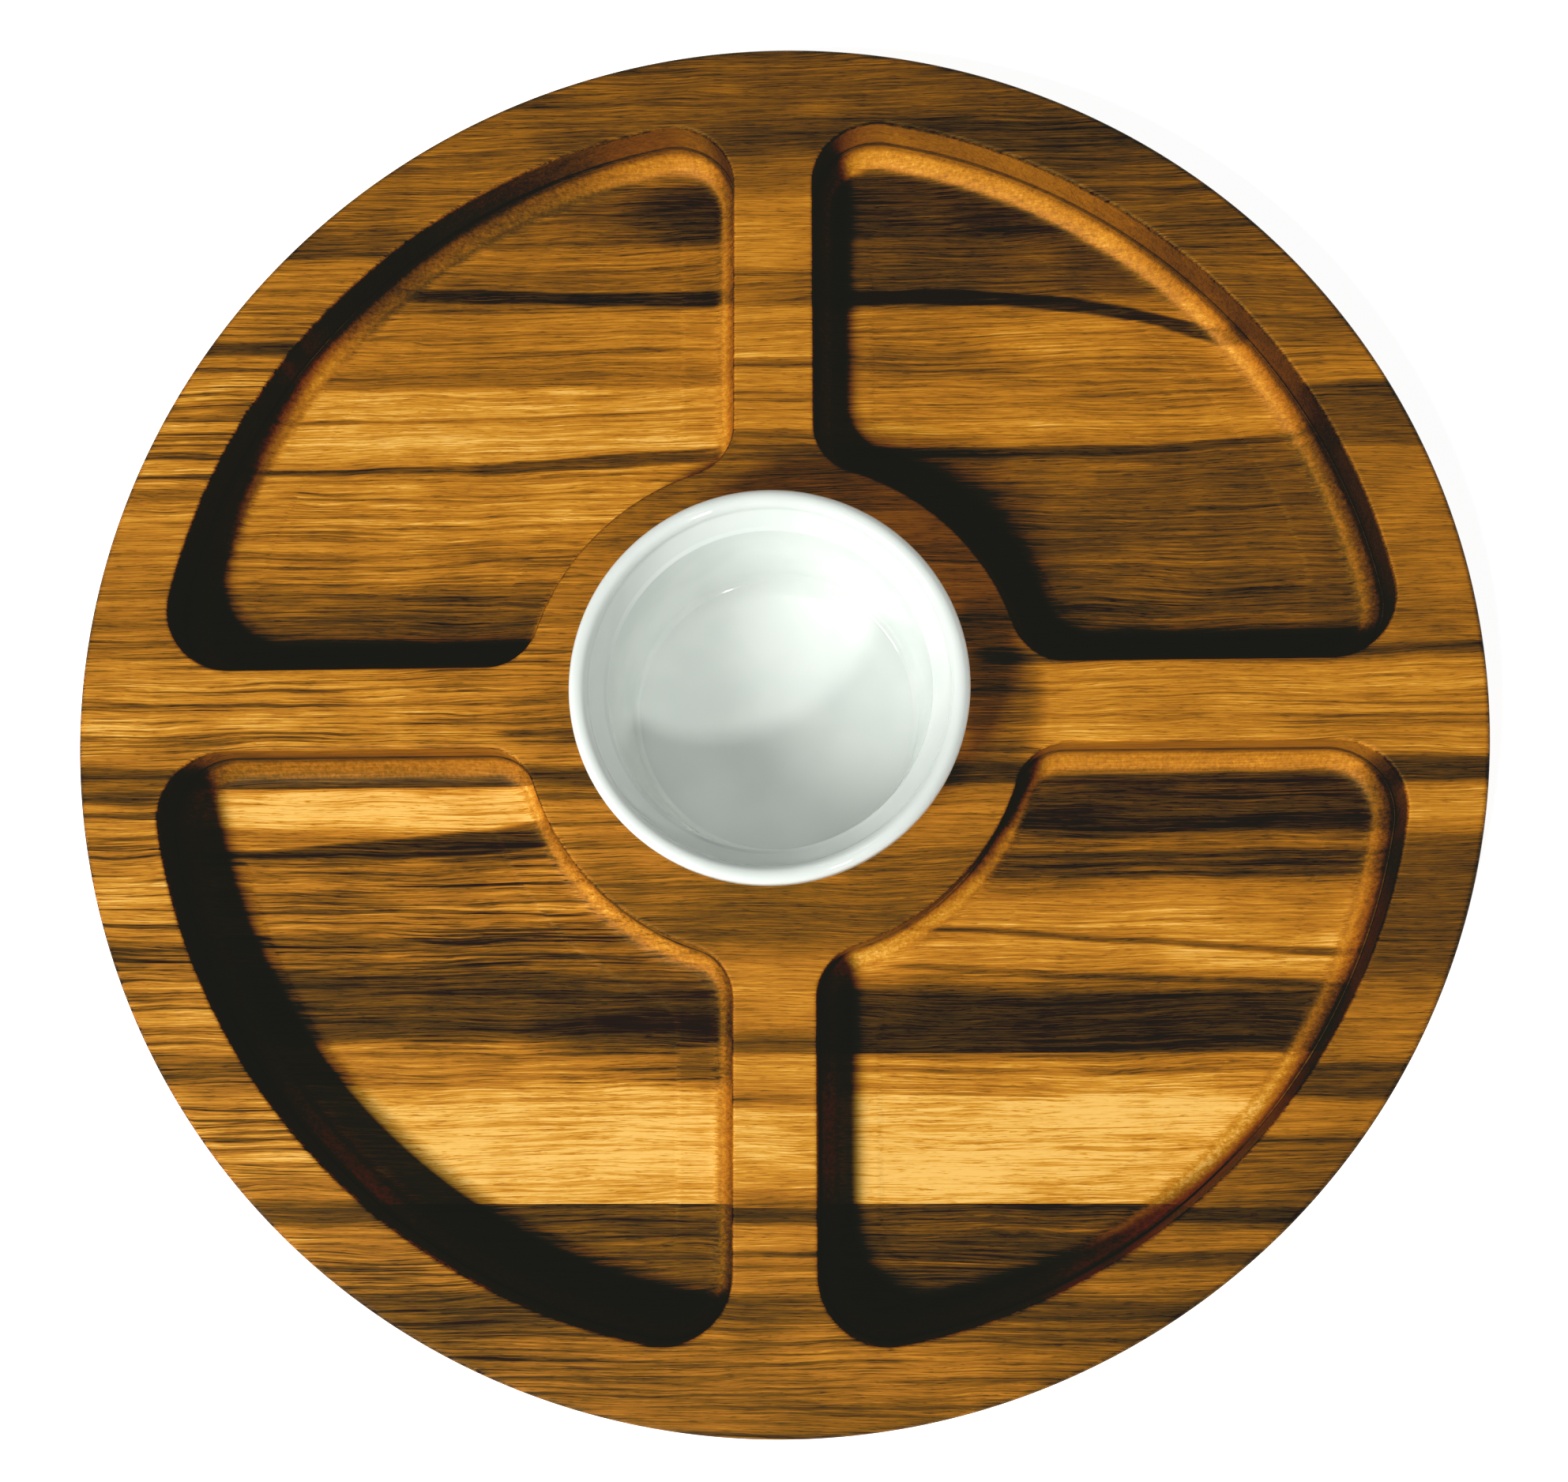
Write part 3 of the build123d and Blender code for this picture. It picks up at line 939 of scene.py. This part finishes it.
# Lamps: the direction they shine from, distance and side in metres, power in watts
KEY_DIRECTION = (-10, -12, 18.5)
KEY_DISTANCE = 6.5
KEY_SIDE = 0.95
KEY_POWER = 340
KEY_PAST_BOWL_POWER = 225
GLAZE_LAMPS = [
    ("glaze_left", (-17, -11, 14), 3.2, 1.8, 105),
    ("glaze_right", (8, -19, 20), 3.2, 0.25, 31),
    ("glaze_above", (2, 3, 20), 2.0, 2.4, 9.5),
    ("glint_far", (-0.5, 4.9, 20), 2.4, 0.016, 0.5),
    ("glint_left", (-1.5, 5.1, 20), 2.4, 0.016, 0.5),
]
WARM_LIGHT = (1.0, 0.985, 0.95)
COOL_LIGHT = (0.96, 1.0, 0.97)
ROOM_COLOUR = (0.95, 0.98, 1.0, 1)
ROOM_LIGHT = 0.036
ROOM_REFLECTED = 0.30
TABLE_SIDE = 12
TABLE_WHITE = (0.9, 0.9, 0.9, 1)
TABLE_ROUGHNESS = 0.9
TABLE_GLOW = 0.94


def table():
    """A white light table: it glows, so the tray throws only a faint shadow on it."""
    bpy.ops.mesh.primitive_plane_add(size=TABLE_SIDE, location=(0, 0, 0))
    plane = bpy.context.object
    plane.name = "table"
    shader = Shader("table_white")
    shader.set("Base Color", TABLE_WHITE)
    shader.set("Roughness", TABLE_ROUGHNESS)
    shader.set("Emission Color", (1, 1, 1, 1))
    shader.set("Emission Strength", TABLE_GLOW)
    plane.data.materials.append(shader.material)


def area_light(name, towards, distance, side, power, colour, lights, shadows=None):
    """A square soft box that shines on the tray from the direction towards.

    lights and shadows are the pieces that it lights and that shade it.
    """
    light = bpy.data.lights.new(name, "AREA")
    light.size = side
    light.energy = power
    light.color = colour
    lamp = bpy.data.objects.new(name, light)
    bpy.context.scene.collection.objects.link(lamp)
    direction = Vector(towards).normalized()
    lamp.location = direction * distance
    lamp.rotation_euler = direction.to_track_quat("Z", "Y").to_euler()
    lamp.light_linking.receiver_collection = lights
    lamp.light_linking.blocker_collection = shadows


def light_group(name, piece, state):
    """The one piece that a lamp treats apart: state INCLUDE is it alone, EXCLUDE all but it."""
    group = bpy.data.collections.new(name)
    group.objects.link(piece)
    group.collection_objects[0].light_linking.link_state = state
    return group


def lamps(bowl):
    """A warm key from the near left for the wood, and softer cool light for the glaze.

    Part of the key passes the bowl, as the light does that white porcelain throws back.
    """
    all_but_bowl = light_group("all_but_bowl", bowl, "EXCLUDE")
    bowl_alone = light_group("bowl_alone", bowl, "INCLUDE")
    key = (KEY_DIRECTION, KEY_DISTANCE, KEY_SIDE)
    area_light("key", *key, KEY_POWER, WARM_LIGHT, all_but_bowl)
    area_light("key_past_bowl", *key, KEY_PAST_BOWL_POWER, WARM_LIGHT, all_but_bowl, all_but_bowl)
    for lamp in GLAZE_LAMPS:
        area_light(*lamp, COOL_LIGHT, bowl_alone)


def room():
    """A dim room that shows brighter in reflections, and pure white behind everything."""
    world = bpy.data.worlds.new("studio")
    bpy.context.scene.world = world
    world.use_nodes = True
    nodes, links = world.node_tree.nodes, world.node_tree.links
    rays = nodes.new("ShaderNodeLightPath")

    def surroundings(strength, colour):
        background = nodes.new("ShaderNodeBackground")
        background.inputs[0].default_value = colour
        background.inputs[1].default_value = strength
        return background.outputs[0]

    def choose(ray, otherwise, chosen):
        mix = nodes.new("ShaderNodeMixShader")
        links.new(rays.outputs[ray], mix.inputs[0])
        links.new(otherwise, mix.inputs[1])
        links.new(chosen, mix.inputs[2])
        return mix.outputs[0]

    light = surroundings(ROOM_LIGHT, ROOM_COLOUR)
    reflected = surroundings(ROOM_REFLECTED, ROOM_COLOUR)
    backdrop = surroundings(1.0, (1, 1, 1, 1))
    seen = choose("Is Camera Ray", choose("Is Glossy Ray", light, reflected), backdrop)
    links.new(seen, nodes["World Output"].inputs[0])


def grade():
    """Renders straight to the print curves."""
    view = bpy.context.scene.view_settings
    view.view_transform = "Standard"
    view.use_curve_mapping = True
    mapping = view.curve_mapping
    for channel, points in enumerate(PRINT_CURVES):
        curve = mapping.curves[channel]
        curve.points[0].location = points[0]
        curve.points[1].location = points[-1]
        for light, ink in points[1:-1]:
            curve.points.new(light, ink)
        for point in curve.points:
            point.handle_type = "VECTOR"
    mapping.update()


# ---------------------------------------------------------------- camera

# Fitted to the tray's round outline and its compartments
CAMERA_LENS = 47.058
CAMERA_SENSOR = 36
CAMERA_PLACE = (23.38, -90.45, TRAY_TOP + 469.8)
CAMERA_TURN = (9.836, 2.595, -0.165)


def camera():
    """Almost straight down, from a little to the near right of the middle."""
    data = bpy.data.cameras.new("camera")
    data.lens = CAMERA_LENS
    data.sensor_width = CAMERA_SENSOR
    data.sensor_fit = "HORIZONTAL"
    eye = bpy.data.objects.new("camera", data)
    eye.location = Vector(CAMERA_PLACE) * MM
    eye.rotation_euler = Euler([math.radians(angle) for angle in CAMERA_TURN])
    bpy.context.scene.collection.objects.link(eye)
    bpy.context.scene.camera = eye


# ---------------------------------------------------------------- scene

tray_mesh = routed_tray()
for stave_name in FIGURES:
    stave(stave_name, tray_mesh)
bowl_piece = dip_bowl()
table()
lamps(bowl_piece)
room()
camera()
grade()
